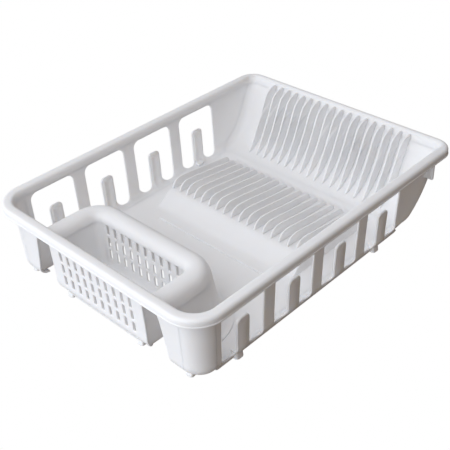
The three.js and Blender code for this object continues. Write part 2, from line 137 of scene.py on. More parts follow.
# ---- small sums -----------------------------------------------------------------------

def smooth(value, low, high):
    share = np.clip((value - low) / (high - low), 0.0, 1.0)
    return share * share * (3.0 - 2.0 * share)


def arc(cx, cy, rx, ry, start, end, steps):
    angles = [math.radians(start + (end - start) * i / steps) for i in range(steps + 1)]
    return [(cx + rx * math.cos(a), cy + ry * math.sin(a)) for a in angles]


def spaced(start, end, steps):
    return [start + (end - start) * i / steps for i in range(steps + 1)]


def through(points, count):
    """Evenly spaced points on a smooth curve through the given ones."""
    table = np.array([points[0], *points, points[-1]], float)
    dense = []
    for i in range(1, len(table) - 2):
        a, b, c, d = table[i - 1:i + 3]
        for t in np.linspace(0.0, 1.0, 16, endpoint=False):
            dense.append(0.5 * (2 * b + (c - a) * t + (2 * a - 5 * b + 4 * c - d) * t * t
                                + (3 * b - a - 3 * c + d) * t ** 3))
    dense.append(table[-1])
    dense = np.array(dense)
    steps = np.r_[0.0, np.cumsum(np.linalg.norm(np.diff(dense, axis=0), axis=1))]
    at = np.linspace(0.0, steps[-1], count)
    return np.column_stack([np.interp(at, steps, dense[:, k]) for k in range(2)])


def lean(z):
    return DRAFT * max(0.0, z - STRAIGHT_TO) / (UNDERSIDE - STRAIGHT_TO)


def flare(z):
    """The divider spreads outwards from the ridge down to the floor."""
    return DIVIDER_FLARE * max(0.0, RIDGE_SPLIT + 8.0 - z) / (RIDGE_SPLIT + 8.0 - FLOOR)


# ---- wall profile, measured along its inner face from the edge of the flat floor ----------

BEND_LENGTH = BEND * math.pi / 2
WALL_LENGTH = BEND_LENGTH + UNDERSIDE - FLOOR - BEND


def up_wall(z):
    """Distance along the profile at a height above the rounded bottom edge."""
    return z - FLOOR - BEND + BEND_LENGTH


def height_at(v):
    """Height at a distance up the profile, the other way round."""
    if v < BEND_LENGTH:
        return FLOOR + BEND * (1.0 - math.cos(v / BEND))
    return FLOOR + BEND + v - BEND_LENGTH


def wall_profile(v):
    """Inset from the wall's outer top line, height, and the outward normal."""
    if v < BEND_LENGTH:
        a = v / BEND
        inset = WALL + DRAFT + BEND * (1.0 - math.sin(a))
        return inset, FLOOR + BEND * (1.0 - math.cos(a)), -math.sin(a), -math.cos(a)
    z = FLOOR + BEND + v - BEND_LENGTH
    return WALL + DRAFT - lean(z), z, -1.0, 0.0


def end_inner_x(z):
    """Inner face of the basket end wall at a height."""
    below = max(0.0, FLOOR + BEND - z)
    bend = BEND - math.sqrt(max(0.0, BEND ** 2 - below ** 2))
    return -(END_TOP - DRAFT + lean(z) - WALL - bend)


# ---- floor heights -----------------------------------------------------------------------

def low_floor(x):
    """Height of the wells and gutters: flat, then rising gently into the sloping end."""
    rise_from, rise = 108.0, END_CURVE[0][1] - FLOOR
    t = np.clip((x - rise_from) / (END_START - rise_from), 0.0, 1.0)
    fall = 0.018 * np.clip(FALL_FROM - x, 0.0, 60.0)
    return FLOOR + rise * t ** 2 * (1.6 - 0.6 * t) - fall


def raised_floor(x):
    """Height along the middle: ramp, plate floor falling slowly, then the valley."""
    plate = PLATE_HIGH + (PLATE_LOW - PLATE_HIGH) * (x - RAMP_HEAD) / (PLATE_END - RAMP_HEAD)
    up = smooth(x, RAMP_FOOT, RAMP_HEAD)
    down = smooth(x, PLATE_END - 3.0, VALLEY_AT)
    base = low_floor(x)
    return base + (plate - base) * up * (1.0 - down)


def floor_height(x, y):
    inside = 1.0 - smooth(abs(y), PLATE_HALF, PLATE_HALF + 2.5)
    base = low_floor(x)
    return base + (raised_floor(x) - base) * inside


# ---- making pieces ----------------------------------------------------------------------

SHARP = math.radians(38.0)


def piece(name, points, faces, nodes, material):
    bm = bmesh.new()
    made = [bm.verts.new((p[0] * MM, p[1] * MM, p[2] * MM)) for p in points]
    for face in faces:
        bm.faces.new([made[i] for i in face])
    bmesh.ops.remove_doubles(bm, verts=bm.verts, dist=2e-6)
    return from_bmesh(name, bm, nodes, material)


def from_bmesh(name, bm, nodes, material):
    bmesh.ops.recalc_face_normals(bm, faces=bm.faces)
    for face in bm.faces:
        face.smooth = True
    for edge in bm.edges:
        edge.smooth = not edge.is_manifold or edge.calc_face_angle(0.0) < SHARP
    mesh = bpy.data.meshes.new(name)
    bm.to_mesh(mesh)
    bm.free()
    made = bpy.data.objects.new(name, mesh)
    bpy.context.scene.collection.objects.link(made)
    mesh.materials.append(material)
    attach(made, "root")
    if nodes:
        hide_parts(*nodes)
    return made


def shell(name, nodes, grid, material, inside, thickness=WALL):
    """A closed sheet from a grid of points on one face, thickened away from a point inside."""
    grid = np.array(grid, float)
    along = np.gradient(grid, axis=0)
    across = np.gradient(grid, axis=1)
    normal = np.cross(along, across)
    normal /= np.linalg.norm(normal, axis=2, keepdims=True) + 1e-12
    middle = (grid.shape[0] // 2, grid.shape[1] // 2)
    if np.dot(normal[middle], grid[middle] - np.array(inside)) < 0:
        normal = -normal
    return sheet(name, nodes, grid, grid + normal * thickness, material)


def sheet(name, nodes, front, back, material):
    rows, columns = front.shape[:2]
    points = np.concatenate([front.reshape(-1, 3), back.reshape(-1, 3)])

    def at(side, j, i):
        return side * rows * columns + j * columns + i

    faces = []
    for j in range(rows - 1):
        for i in range(columns - 1):
            faces.append((at(0, j, i), at(0, j + 1, i), at(0, j + 1, i + 1), at(0, j, i + 1)))
            faces.append((at(1, j, i), at(1, j, i + 1), at(1, j + 1, i + 1), at(1, j + 1, i)))
    for j in range(rows - 1):
        last = columns - 1
        faces.append((at(0, j, 0), at(1, j, 0), at(1, j + 1, 0), at(0, j + 1, 0)))
        faces.append((at(0, j, last), at(0, j + 1, last), at(1, j + 1, last), at(1, j, last)))
    for i in range(columns - 1):
        last = rows - 1
        faces.append((at(0, 0, i), at(0, 0, i + 1), at(1, 0, i + 1), at(1, 0, i)))
        faces.append((at(0, last, i), at(1, last, i), at(1, last, i + 1), at(0, last, i + 1)))
    return piece(name, points, faces, nodes, material)


def finer(loop, longest):
    """The same outline with no straight longer than a given length."""
    result = []
    for (ax, ay), (bx, by) in zip(loop, loop[1:] + loop[:1]):
        steps = max(1, math.ceil(math.hypot(bx - ax, by - ay) / longest))
        for i in range(steps):
            result.append((ax + (bx - ax) * i / steps, ay + (by - ay) * i / steps))
    return result


def inside_loops(points, loops):
    """Even-odd test of many points against outlines."""
    found = np.zeros(len(points), bool)
    for loop in loops:
        a = np.array(loop, float)
        b = np.roll(a, -1, axis=0)
        px, py = points[:, :1], points[:, 1:]
        spans = (a[:, 1] > py) != (b[:, 1] > py)
        drop = np.where(np.abs(b[:, 1] - a[:, 1]) < 1e-12, 1e-12, b[:, 1] - a[:, 1])
        cross = a[:, 0] + (py - a[:, 1]) / drop * (b[:, 0] - a[:, 0])
        found ^= ((spans & (px < cross)).sum(axis=1) % 2).astype(bool)
    return found


def clear_of(points, loops, gap):
    """Points that stand at least a gap away from every outline."""
    keep = np.ones(len(points), bool)
    for loop in loops:
        a = np.array(loop, float)
        d = np.roll(a, -1, axis=0) - a
        length = (d ** 2).sum(axis=1) + 1e-12
        rel = points[:, None, :] - a[None, :, :]
        t = np.clip((rel * d).sum(axis=2) / length, 0.0, 1.0)
        nearest = np.linalg.norm(rel - t[:, :, None] * d, axis=2).min(axis=1)
        keep &= nearest > gap
    return keep


def lattice(us, vs):
    return np.array([(u, v) for u in us for v in vs], float)


def cut_sheet(name, nodes, loops, points, place, material, thickness=WALL, edge=EDGE_ROUND):
    """A sheet cut to outlines in a flat pattern, with rounded cut edges, then put in place.

    loops(g) gives the outlines with every free edge moved g into the material.
    """
    outlines = loops(edge)
    keep = inside_loops(points, outlines) & clear_of(points, outlines, 0.45)
    pattern = [p for loop in outlines for p in loop]
    starts = np.r_[0, np.cumsum([len(loop) for loop in outlines])]
    edges = []
    for start, loop in zip(starts, outlines):
        count = len(loop)
        edges += [(int(start) + i, int(start) + (i + 1) % count) for i in range(count)]
    flat = [Vector(p) for p in pattern] + [Vector(p) for p in points[keep]]
    out, _, triangles, origin, _, _ = delaunay_2d_cdt(flat, edges, [], 0, 1e-6, True)
    made = np.array([tuple(p) for p in out])
    centres = np.array([made[list(t)].mean(axis=0) for t in triangles])
    inside = inside_loops(centres, outlines)
    became = {}
    for index, sources in enumerate(origin):
        for source in sources:
            became[source] = index
    verts = [place(u, v, 0.0) for u, v in made]
    verts += [place(u, v, thickness) for u, v in made]
    back = len(made)
    faces = []
    for triangle, real in zip(triangles, inside):
        if real:
            a, b, c = triangle
            faces.append((a, b, c))
            faces.append((back + a, back + c, back + b))
    quarter = [math.radians(a) for a in (30.0, 60.0, 90.0)]
    steps = [(edge * (1 - math.sin(a)), edge * (1 - math.cos(a))) for a in quarter]
    steps += [(g, thickness - depth) for g, depth in reversed(steps)]
    rings = [[(place(u, v, depth)) for loop in loops(g) for u, v in loop] for g, depth in steps]
    for start, loop in zip(starts, outlines):
        count = len(loop)
        chain = [[became[int(start) + i] for i in range(count)]]
        for ring in rings:
            first = len(verts)
            verts += ring[int(start):int(start) + count]
            chain.append(list(range(first, first + count)))
        chain.append([back + i for i in chain[0]])
        for one, two in zip(chain, chain[1:]):
            for i in range(count):
                j = (i + 1) % count
                faces.append((one[i], one[j], two[j], two[i]))
    return piece(name, verts, faces, nodes, material)


# ---- material -----------------------------------------------------------------------------

def polypropylene():
    """Satin white moulded plastic: faint mottling, soft gloss and a little light let through."""
    material = bpy.data.materials.new("white_polypropylene")
    material.use_nodes = True
    nodes, links = material.node_tree.nodes, material.node_tree.links
    shader = nodes["Principled BSDF"]
    shader.inputs["IOR"].default_value = 1.49
    shader.inputs["Subsurface Weight"].default_value = 0.5
    shader.inputs["Subsurface Radius"].default_value = (1.0, 0.9, 0.8)
    shader.inputs["Subsurface Scale"].default_value = 0.004
    place = nodes.new("ShaderNodeTexCoord")

    cloud = nodes.new("ShaderNodeTexNoise")
    cloud.inputs["Scale"].default_value = 14.0
    cloud.inputs["Detail"].default_value = 4.0
    tint = nodes.new("ShaderNodeValToRGB")
    tint.color_ramp.elements[0].position = 0.3
    tint.color_ramp.elements[0].color = (0.915, 0.915, 0.92, 1.0)
    tint.color_ramp.elements[1].position = 0.7
    tint.color_ramp.elements[1].color = (0.945, 0.945, 0.95, 1.0)
    links.new(place.outputs["Object"], cloud.inputs["Vector"])
    links.new(cloud.outputs["Fac"], tint.inputs["Fac"])
    links.new(tint.outputs["Color"], shader.inputs["Base Color"])

    flow = nodes.new("ShaderNodeTexNoise")
    flow.inputs["Scale"].default_value = 60.0
    flow.inputs["Detail"].default_value = 3.0
    gloss = nodes.new("ShaderNodeMapRange")
    gloss.inputs["To Min"].default_value = 0.34
    gloss.inputs["To Max"].default_value = 0.46
    links.new(place.outputs["Object"], flow.inputs["Vector"])
    links.new(flow.outputs["Fac"], gloss.inputs["Value"])
    links.new(gloss.outputs["Result"], shader.inputs["Roughness"])

    grain = nodes.new("ShaderNodeTexNoise")
    grain.inputs["Scale"].default_value = 900.0
    grain.inputs["Detail"].default_value = 2.0
    bump = nodes.new("ShaderNodeBump")
    bump.inputs["Strength"].default_value = 0.06
    bump.inputs["Distance"].default_value = 0.0002
    links.new(place.outputs["Object"], grain.inputs["Vector"])
    links.new(grain.outputs["Fac"], bump.inputs["Height"])
    links.new(bump.outputs["Normal"], shader.inputs["Normal"])
    return material


WHITE = polypropylene()


# ---- rolled rim --------------------------------------------------------------------------

END_SLOPE = 0.565
SIDE_SLOPE = DRAFT / (UNDERSIDE - STRAIGHT_TO)


def rim_stations():
    """Points on the outer line with their outward normals, once round."""
    stations = []
    for cx, cy, start in ((1, 1, 0), (-1, 1, 90), (-1, -1, 180), (1, -1, 270)):
        corner = END_RIM_CORNER if cx > 0 else RIM_CORNER
        for nx, ny in arc(0, 0, 1, 1, start, start + 90, 18):
            x = cx * (HALF_LENGTH - corner) + nx * corner
            y = cy * (HALF_WIDTH - corner) + ny * corner
            stations.append((x, y, nx, ny))
    full = []
    for a, b in zip(stations, stations[1:] + stations[:1]):
        gap = math.hypot(b[0] - a[0], b[1] - a[1])
        steps = max(1, round(gap / 14.0)) if gap > 20 else 1
        for i in range(steps):
            t = i / steps
            full.append((a[0] + (b[0] - a[0]) * t, a[1] + (b[1] - a[1]) * t, a[2], a[3]))
    return full


def rim_profile(slope):
    """Closed section of the inverted-U lip: distance in from the outer line, and height."""
    inner = RIM_REACH + WALL

    def leg(z):
        return inner - slope * (z - UNDERSIDE)

    lip = 0.7
    skin = [(0.5, UNDERSIDE), (0.1, UNDERSIDE + 0.3), (0.0, UNDERSIDE + 0.9), (0.2, UNDERSIDE + 1.5),
            (lip, UNDERSIDE + 2.1), (lip, TOP - 5.2)]
    skin += [(5.2 - 4.5 * math.cos(math.radians(a)), TOP - 4.4 + 4.4 * math.sin(math.radians(a)))
             for a in (15, 30, 45, 60, 75, 90)]
    start = np.array((max(6.2, leg(TOP) - 4.6), TOP))
    knee = np.array((leg(TOP), TOP))
    end = np.array((leg(TOP - 6.0), TOP - 6.0))
    for t in (0.0, 0.2, 0.4, 0.6, 0.8, 1.0):
        skin.append(tuple(start * (1 - t) ** 2 + knee * 2 * t * (1 - t) + end * t * t))
    skin.append((inner, UNDERSIDE))
    lining = [(inner - WALL, UNDERSIDE), (leg(TOP - 6.5) - 2.6, TOP - 6.5),
              (leg(TOP - 3.6) - 3.3, TOP - 3.2), (6.0, TOP - WALL), (4.6, TOP - 2.9), (3.3, TOP - 4.4),
              (3.0, TOP - 6.0), (2.7, UNDERSIDE + 0.6), (2.2, UNDERSIDE)]
    return skin + lining


def rolled_rim():
    points, faces = [], []
    stations = rim_stations()
    count = 0
    for x, y, nx, ny in stations:
        slope = SIDE_SLOPE
        if nx > 0:
            slope = END_SLOPE * nx + SIDE_SLOPE * abs(ny)
        section = rim_profile(slope)
        count = len(section)
        points += [(x - nx * inset, y - ny * inset, z) for inset, z in section]
    total = len(stations)
    for j in range(total):
        for i in range(count):
            a = j * count + i
            b = j * count + (i + 1) % count
            c = (j + 1) % total * count + (i + 1) % count
            d = (j + 1) % total * count + i
            faces.append((a, b, c, d))
    return piece("rim", points, faces, ["rolled_rim"], WHITE)


# ---- side walls ----------------------------------------------------------------------------

END_ROWS = 34
END_LINE = through(END_CURVE, END_ROWS)


def corner_radius(v, rim_corner=RIM_CORNER):
    return rim_corner - RIM_REACH - wall_profile(v)[0]


def end_corner_radius(v):
    """The corners of the sloping end, which keep a small radius where the walls turn in."""
    return max(corner_radius(v, END_RIM_CORNER), LEAST_CORNER)


def side_end_x(v):
    """Where a side wall hands over to the rounded corner of the sloping end."""
    row = v / WALL_LENGTH * (END_ROWS - 1)
    return np.interp(row, range(END_ROWS), END_LINE[:, 0]) - end_corner_radius(v)


def side_lift(x, v):
    """The bottom of the side wall rises with the floor towards the sloping end."""
    return float((low_floor(max(x, FALL_FROM)) - FLOOR) * (1.0 - smooth(v, 6.0, 40.0)))


def slot_loop(centre, g):
    left, right = centre - SLOT_HALF, centre + SLOT_HALF
    r, q = SLOT_RADIUS, TONGUE_RADIUS
    top = up_wall(SLOT_TOP)
    low = SLOT_LOW
    tongue = up_wall(TONGUE_TOP)
    half = TONGUE_HALF
    grown, tight = r + g, q - g
    loop = arc(left + r, top - r, grown, grown, 180, 90, 7)
    loop += arc(right - r, top - r, grown, grown, 90, 0, 7)
    loop += arc(right - r, low + r, grown, grown, 0, -90, 7)
    loop += arc(centre + half + r, low + r, grown, grown, 270, 180, 7)
    loop += arc(centre + half - q, tongue - q, tight, tight, 0, 90, 6)
    loop += arc(centre - half + q, tongue - q, tight, tight, 90, 180, 6)
    loop += arc(centre - half - r, low + r, grown, grown, 0, -90, 7)
    loop += arc(left + r, low + r, grown, grown, 270, 180, 7)
    return finer(loop, 5.0)


def tongue_depth(u, v):
    """How far inside a tongue's outline a point is, or 0."""
    offset = (u - SLOT_FIRST + SLOT_PITCH / 2) % SLOT_PITCH - SLOT_PITCH / 2
    if not SLOT_FIRST - SLOT_PITCH / 2 < u < SLOT_FIRST + (SLOT_COUNT - 0.5) * SLOT_PITCH:
        return 0.0
    a, top = abs(offset), up_wall(TONGUE_TOP)
    qa, qv = a - (TONGUE_HALF - TONGUE_RADIUS), v - (top - TONGUE_RADIUS)
    if qa > 0 and qv > 0:
        return max(0.0, TONGUE_RADIUS - math.hypot(qa, qv))
    return max(0.0, min(TONGUE_HALF - a, top - v))


def side_wall(name, nodes, side):
    def place(u, v, t):
        inset, z, out, down = wall_profile(v)
        depth = tongue_depth(u, v)
        bead = -1.1 * smooth(depth, 2.0, 2.8) + 1.7 * smooth(depth, 3.6, 9.0)
        bulge = 0.9 * smooth(depth, 0.0, 0.6) + 0.8 * smooth(depth, 1.5, 8.0)
        push = bead * (1 - t / WALL) + bulge * t / WALL
        y = SIDE_TOP - inset - out * (t + push)
        return u, side * y, z + down * t + side_lift(u, v)

    heights = spaced(0.0, WALL_LENGTH, 24)
    border = [(-CORNER_X, v) for v in reversed(heights)]
    border += [(x, 0.0) for x in spaced(-CORNER_X, side_end_x(0.0), 60)[1:-1]]
    border += [(side_end_x(v), v) for v in heights]
    border += [(x, WALL_LENGTH) for x in spaced(side_end_x(WALL_LENGTH), -CORNER_X, 60)[1:-1]]
    centres = [SLOT_FIRST + n * SLOT_PITCH for n in range(SLOT_COUNT)]

    def loops(g):
        return [border] + [slot_loop(centre, g) for centre in centres]

    # The tongues get a finer lattice, which carries their raised border.
    coarse = lattice(np.arange(-198.0, 205.0, 4.1), np.arange(1.5, WALL_LENGTH, 3.9))
    keep = [tongue_depth(u, v) == 0.0 or v < 1.0 for u, v in coarse]
    half = [2.2, 4.5, 6.3, 7.1, 7.6, 8.6]
    across = np.array([-offset for offset in reversed(half)] + [0.0] + half)
    up_tongue = np.arange(1.5, up_wall(TONGUE_TOP), 1.5)
    fine = [lattice(centre + across, up_tongue) for centre in centres]
    points = np.concatenate([coarse[keep], *fine])
    return cut_sheet(name, nodes, loops, points, place, WHITE)


# ---- sloping end wall with its rounded corners ------------------------------------------------

END_ARC_STEPS = 14


def sloping_end():
    rows = []
    for i in range(END_ROWS):
        v = WALL_LENGTH * i / (END_ROWS - 1)
        x_end, z_end = END_LINE[i]
        r = end_corner_radius(v)
        inset, z_side, _, _ = wall_profile(v)
        z_side += side_lift(x_end - r, v)
        centre = SIDE_TOP - inset - r
        line = []
        for a in spaced(0.0, 90.0, END_ARC_STEPS):
            c, s = math.cos(math.radians(a)), math.sin(math.radians(a))
            line.append((x_end - r + r * s, centre + r * c, z_side * c * c + z_end * s * s))
        line += [(x_end, y, z_end) for y in spaced(centre, -centre, 30)[1:-1]]
        line += [(x, -y, z) for x, y, z in reversed(line[:END_ARC_STEPS + 1])]
        rows.append(line)
    return shell("sloping_end", ["sloping_end_wall"], rows, WHITE, (0, 0, 150))


# ---- corners at the basket end -----------------------------------------------------------------

def corner_post(name, nodes, side):
    rows = []
    for v in spaced(0.0, WALL_LENGTH, 30):
        _, z, _, _ = wall_profile(v)
        r = corner_radius(v)
        rows.append([(-CORNER_X - r * math.sin(math.radians(a)),
                      side * (CORNER_Y + r * math.cos(math.radians(a))), z)
                     for a in spaced(0.0, 90.0, 16)])
    return shell(name, nodes, rows, WHITE, (0, 0, 60))


# ---- basket end wall: posts, lintels over the channel and the perforated basket wall -------------

def hole_loop(u, v, g, height=HOLE_HALF[1]):
    half, tall, r = HOLE_HALF[0] + g, height + g, HOLE_RADIUS + g
    loop = arc(u + half - r, v + tall - r, r, r, 0, 90, 3)
    loop += arc(u - half + r, v + tall - r, r, r, 90, 180, 3)
    loop += arc(u - half + r, v - tall + r, r, r, 180, 270, 3)
    loop += arc(u + half - r, v - tall + r, r, r, 270, 360, 3)
    return loop


def hole_columns():
    return [(n - (HOLE_COUNT - 1) / 2) * HOLE_PITCH for n in range(HOLE_COUNT)]


def basket_end():
    def place(u, v, t):
        inset, z, out, down = wall_profile(v)
        return -(END_TOP - inset - out * t), u, z + down * t

    post = BASKET_HALF + RIDGE_WIDTH - WALL
    foot = post + flare(FLOOR)
    wall = BASKET_HALF + WALL
    lintel = up_wall(LINTEL_BOTTOM)
    heights = spaced(0.0, WALL_LENGTH, 24)

    def half(g):
        """Lower outline for positive u, from the middle out to the post."""
        line = [(u, 0.0) for u in spaced(0.0, wall - 12.0, 12)[:-1]]
        line += arc(wall - 12.0, 12.0, 12.0 - g, 12.0, -90, 0, 6)
        line += arc(wall + 4.0, lintel - 4.0, 4.0 + g, 4.0 + g, 180, 90, 5)
        line += arc(post - 4.0, lintel - 4.0, 4.0 + g, 4.0 + g, 90, 0, 5)
        line += [(post + flare(height_at(v)) + g, v) for v in spaced(lintel - 8.0, 0.0, 14)]
        return line

    def loops(g):
        right = half(g)
        left = [(-u, v) for u, v in reversed(right)][:-1]
        outline = finer(left + right, 6.0)
        while outline[-1][1] == 0.0 and abs(outline[-1][0]) < foot:
            outline.pop()
        side = [(CORNER_Y, v) for v in heights]
        top = [(u, WALL_LENGTH) for u in spaced(CORNER_Y, -CORNER_Y, 40)[1:-1]]
        other = [(-CORNER_Y, v) for v in reversed(heights)]
        outer = outline + [(foot + 8.0, 0.0)] + side + top + other + [(-foot - 8.0, 0.0)]
        holes = [hole_loop(u, up_wall(z), g) for u in hole_columns() for z in OUTER_ROWS]
        holes += [hole_loop(u, 9.5, g, 5.5) for u in hole_columns()]
        return [outer] + holes

    points = lattice(np.arange(-138.0, 140.0, 3.4), np.arange(2.0, WALL_LENGTH, 3.6))
    nodes = ["basket_outer_wall"]
    return cut_sheet("basket_end_wall", nodes, loops, points, place, WHITE)


# ---- ridge, divider and basket -----------------------------------------------------------------

SHOE_ARM_STEPS = 8
SHOE_ARC_STEPS = 14
SHOE_HALF = SHOE_ARM_STEPS + SHOE_ARC_STEPS + 1


def horseshoe(offset, start_x):
    """Plan line at an offset outside the basket's inner faces, open towards -X."""
    r = BASKET_CORNER + offset
    cx, cy = BASKET_BACK - BASKET_CORNER, BASKET_HALF - BASKET_CORNER
    line = [(x, cy + r) for x in spaced(start_x, cx, SHOE_ARM_STEPS)[:-1]]
    line += arc(cx, cy, r, r, 90, 0, SHOE_ARC_STEPS)
    line += [(cx + r, y) for y in spaced(cy, -cy, 16)[1:-1]]
    line += [(x, -y) for x, y in reversed(line[:SHOE_HALF])]
    return line


def horseshoe_shell(name, nodes, profile, inside):
    rows = []
    for offset, z in profile:
        rows.append([(x, y, z) for x, y in horseshoe(offset, end_inner_x(z) - 0.2)])
    return shell(name, nodes, rows, WHITE, inside)


def divider_wall():
    low = [(BEND - BEND * math.sin(math.radians(a)), FLOOR + BEND * (1 - math.cos(math.radians(a))))
           for a in spaced(0.0, 90.0, 8)]
    high = [(0.0, z) for z in spaced(FLOOR + BEND, RIDGE_SPLIT, 8)[1:]]
    profile = [(RIDGE_WIDTH + flare(z) + inset, z) for inset, z in low + high]
    return horseshoe_shell("divider_wall_skin", ["divider_wall"], profile, (0, 0, 40))


def divider_ridge():
    half = RIDGE_WIDTH / 2
    tub_rise, basket_rise = 15.0, 12.0
    rows = [(RIDGE_WIDTH + flare(RIDGE_SPLIT), RIDGE_SPLIT)]
    for a in spaced(0.0, 90.0, 9):
        c, s = math.cos(math.radians(a)), math.sin(math.radians(a))
        z = RIDGE_TOP - tub_rise + tub_rise * s ** 0.9
        rows.append((half + (half + flare(z)) * c ** 0.9, z))
    for a in spaced(90.0, 180.0, 9)[1:]:
        c, s = math.cos(math.radians(a)), max(0.0, math.sin(math.radians(a)))
        rows.append((half - half * abs(c) ** 0.9, RIDGE_TOP - basket_rise + basket_rise * s ** 0.9))
    return horseshoe_shell("ridge", ["divider_ridge"], rows, (-120, 0, 200))


def basket_profile():
    low = [(-BASKET_BEND + BASKET_BEND * math.sin(math.radians(a)),
            FLOOR + BASKET_BEND * (1 - math.cos(math.radians(a)))) for a in spaced(0.0, 90.0, 7)]
    return low + [(0.0, z) for z in spaced(FLOOR + BASKET_BEND, BASKET_SPLIT, 8)[1:]]


def basket_flank(name, nodes, side):
    rows = []
    for offset, z in basket_profile():
        line = horseshoe(offset, end_inner_x(z) - 0.2)[:SHOE_HALF]
        rows.append([(x, side * y, z) for x, y in line])
    return shell(name, nodes, rows, WHITE, (-190, 0, 40))


def basket_inner():
    bend = BASKET_BEND * math.pi / 2
    total = bend + BASKET_SPLIT - FLOOR - BASKET_BEND
    reach = BASKET_HALF - BASKET_CORNER

    def along(z):
        return z - FLOOR - BASKET_BEND + bend

    def place(u, v, t):
        if v < bend:
            a = v / BASKET_BEND
            x = BASKET_BACK - BASKET_BEND * (1 - math.sin(a)) + t * math.sin(a)
            return x, u, FLOOR + BASKET_BEND * (1 - math.cos(a)) - t * math.cos(a)
        return BASKET_BACK + t, u, FLOOR + BASKET_BEND + v - bend

    def loops(g):
        border = [(u, 0.0) for u in spaced(-reach, reach, 30)]
        border += [(reach, v) for v in spaced(0.0, total, 18)[1:]]
        border += [(u, total) for u in spaced(reach, -reach, 30)[1:]]
        border += [(-reach, v) for v in spaced(total, 0.0, 18)[1:-1]]
        return [border] + [hole_loop(u, along(z), g) for u in hole_columns() for z in INNER_ROWS]

    points = lattice(np.arange(-68.0, 70.0, 3.4), np.arange(2.0, total, 3.4))
    return cut_sheet("basket_inner_skin", ["basket_inner_wall"], loops, points, place, WHITE)


def basket_floor():
    inner = BASKET_BACK - BASKET_BEND
    outer = -(END_TOP - DRAFT - WALL - BEND)
    half = BASKET_HALF - BASKET_BEND
    xs = spaced(outer, inner, 16)
    ys = spaced(-half, half, 40)
    rows = [[(x, y, FLOOR) for y in ys] for x in xs]
    return shell("basket_base", ["basket_floor"], rows, WHITE, (-190, 0, 50))


# ---- tub floor ------------------------------------------------------------------------------------

def tub_floor():
    edge = SIDE_TOP - WALL - DRAFT - BEND
    left = -(END_TOP - WALL - DRAFT - BEND)
    r = edge - CORNER_Y
    q = end_corner_radius(0.0)
    outer_ring = BASKET_HALF + RIDGE_WIDTH + DIVIDER_FLARE + BEND

    def loops(_):
        line = [(x, edge) for x in spaced(END_START - q, -CORNER_X, 100)[:-1]]
        line += arc(-CORNER_X, CORNER_Y, r, r, 90, 180, 8)
        line += [(left, outer_ring)]
        line += horseshoe(RIDGE_WIDTH + DIVIDER_FLARE + BEND, left)[1:-1]
        line += [(left, -outer_ring)]
        line += arc(-CORNER_X, -CORNER_Y, r, r, 180, 270, 8)
        line += [(x, -edge) for x in spaced(-CORNER_X, END_START - q, 100)[1:]]
        line += arc(END_START - q, q - edge, q, q, 270, 360, 8)[1:]
        line += [(END_START, y) for y in spaced(q - edge, edge - q, 60)[1:-1]]
        line += arc(END_START - q, edge - q, q, q, 0, 90, 8)[:-1]
        return [line]

    def place(u, v, t):
        return u, v, float(floor_height(u, v)) - t

    # Rows crowd together where the raised floor drops to the gutter along each side.
    xs = np.arange(-209.0, END_START, 2.9)
    ys = [-149.5, -147.0, -144.0, -141.0, -137.0, -133.0, -129.0, -126.0, -124.2]
    ys += [-123.3, -122.7, -122.1, -121.5, -120.6, -119.0, -116.0]
    ys = ys + list(np.linspace(-112.0, 112.0, 57)) + [-y for y in reversed(ys)]
    points = lattice(xs, ys)
    nodes = ["well_floor", "floor_ramp", "plate_floor"]
    return cut_sheet("tub_floor", nodes, loops, points, place, WHITE, thickness=WALL, edge=0.2)


STEP_HALF = 95.0
STEP_TIP = 2.0
STEP_SHIFT = 2.0


def drain_step():
    """A low sharp-fronted bead across the well."""
    section = [(-1.2, -0.4), (-0.9, 1.6), (-0.4, 2.3), (0.4, 2.5), (1.1, 2.2), (1.8, 1.0), (2.6, -0.4)]
    along = spaced(-STEP_HALF, STEP_HALF, 30)
    rows = []
    for y in [-STEP_HALF - STEP_TIP, *along, STEP_HALF + STEP_TIP]:
        share = 0.3 if abs(y) > STEP_HALF else 1.0
        line = [(STEP_AT + dx, y + STEP_SHIFT, FLOOR + (dz if dz < 0 else dz * share)) for dx, dz in section]
        rows.append(line)
    front = np.array(rows, float)
    back = front.copy()
    back[:, :, 2] = FLOOR - 1.2
    return sheet("drain_step", [], front, back, WHITE)


# ---- fins ---------------------------------------------------------------------------------------

FIN_COUNT = 18


def fin(name, node, outline, taper, edge=0.75):
    """A thin upright fin: slightly thinner towards its free edge, with that edge rounded."""
    low, high = cad_box(node)
    y = (low.y + high.y) / 2
    half = (high.y - low.y) / 2
    bm = bmesh.new()
    sides = []
    for sign in (-1, 1):
        sides.append([bm.verts.new((x * MM, (y + sign * (half - taper * free)) * MM, z * MM))
                      for x, z, free in outline])
    bm.faces.new(sides[0])
    bm.faces.new(list(reversed(sides[1])))
    count = len(outline)
    for i in range(count):
        j = (i + 1) % count
        bm.faces.new((sides[0][j], sides[0][i], sides[1][i], sides[1][j]))
    bm.edges.ensure_lookup_table()
    free_verts = {v for row in sides for v, point in zip(row, outline) if point[2] > 0}
    rim_edges = [e for e in bm.edges if e.verts[0] in free_verts and e.verts[1] in free_verts
                 and abs(e.verts[0].co.y - e.verts[1].co.y) < half * MM]
    bmesh.ops.bevel(bm, geom=rim_edges, offset=edge * MM, segments=3, profile=0.5, affect="EDGES")
    return from_bmesh(name, bm, [node], WHITE)


def plate_fin_outline():
    """Front rises, rounds over and the top then falls with the floor to the far end."""
    top = through([(4.2, 22.2), (6.4, 26.2), (8.0, 30.0), (10.4, 33.2), (15.0, 35.7),
                   (21.0, 36.3), (28.0, 36.1), (37.0, 35.2), (57.0, 32.7), (78.0, 30.1),
                   (99.0, 27.4), (111.0, 25.6), (116.5, 24.0), (119.0, 21.5), (119.9, 18.0)], 34)
    outline = [(x, z, 1.0) for x, z in top]
    for x in spaced(120.0, 4.4, 10):
        outline.append((x, float(raised_floor(x)) - 0.8, 0.0))
    return outline


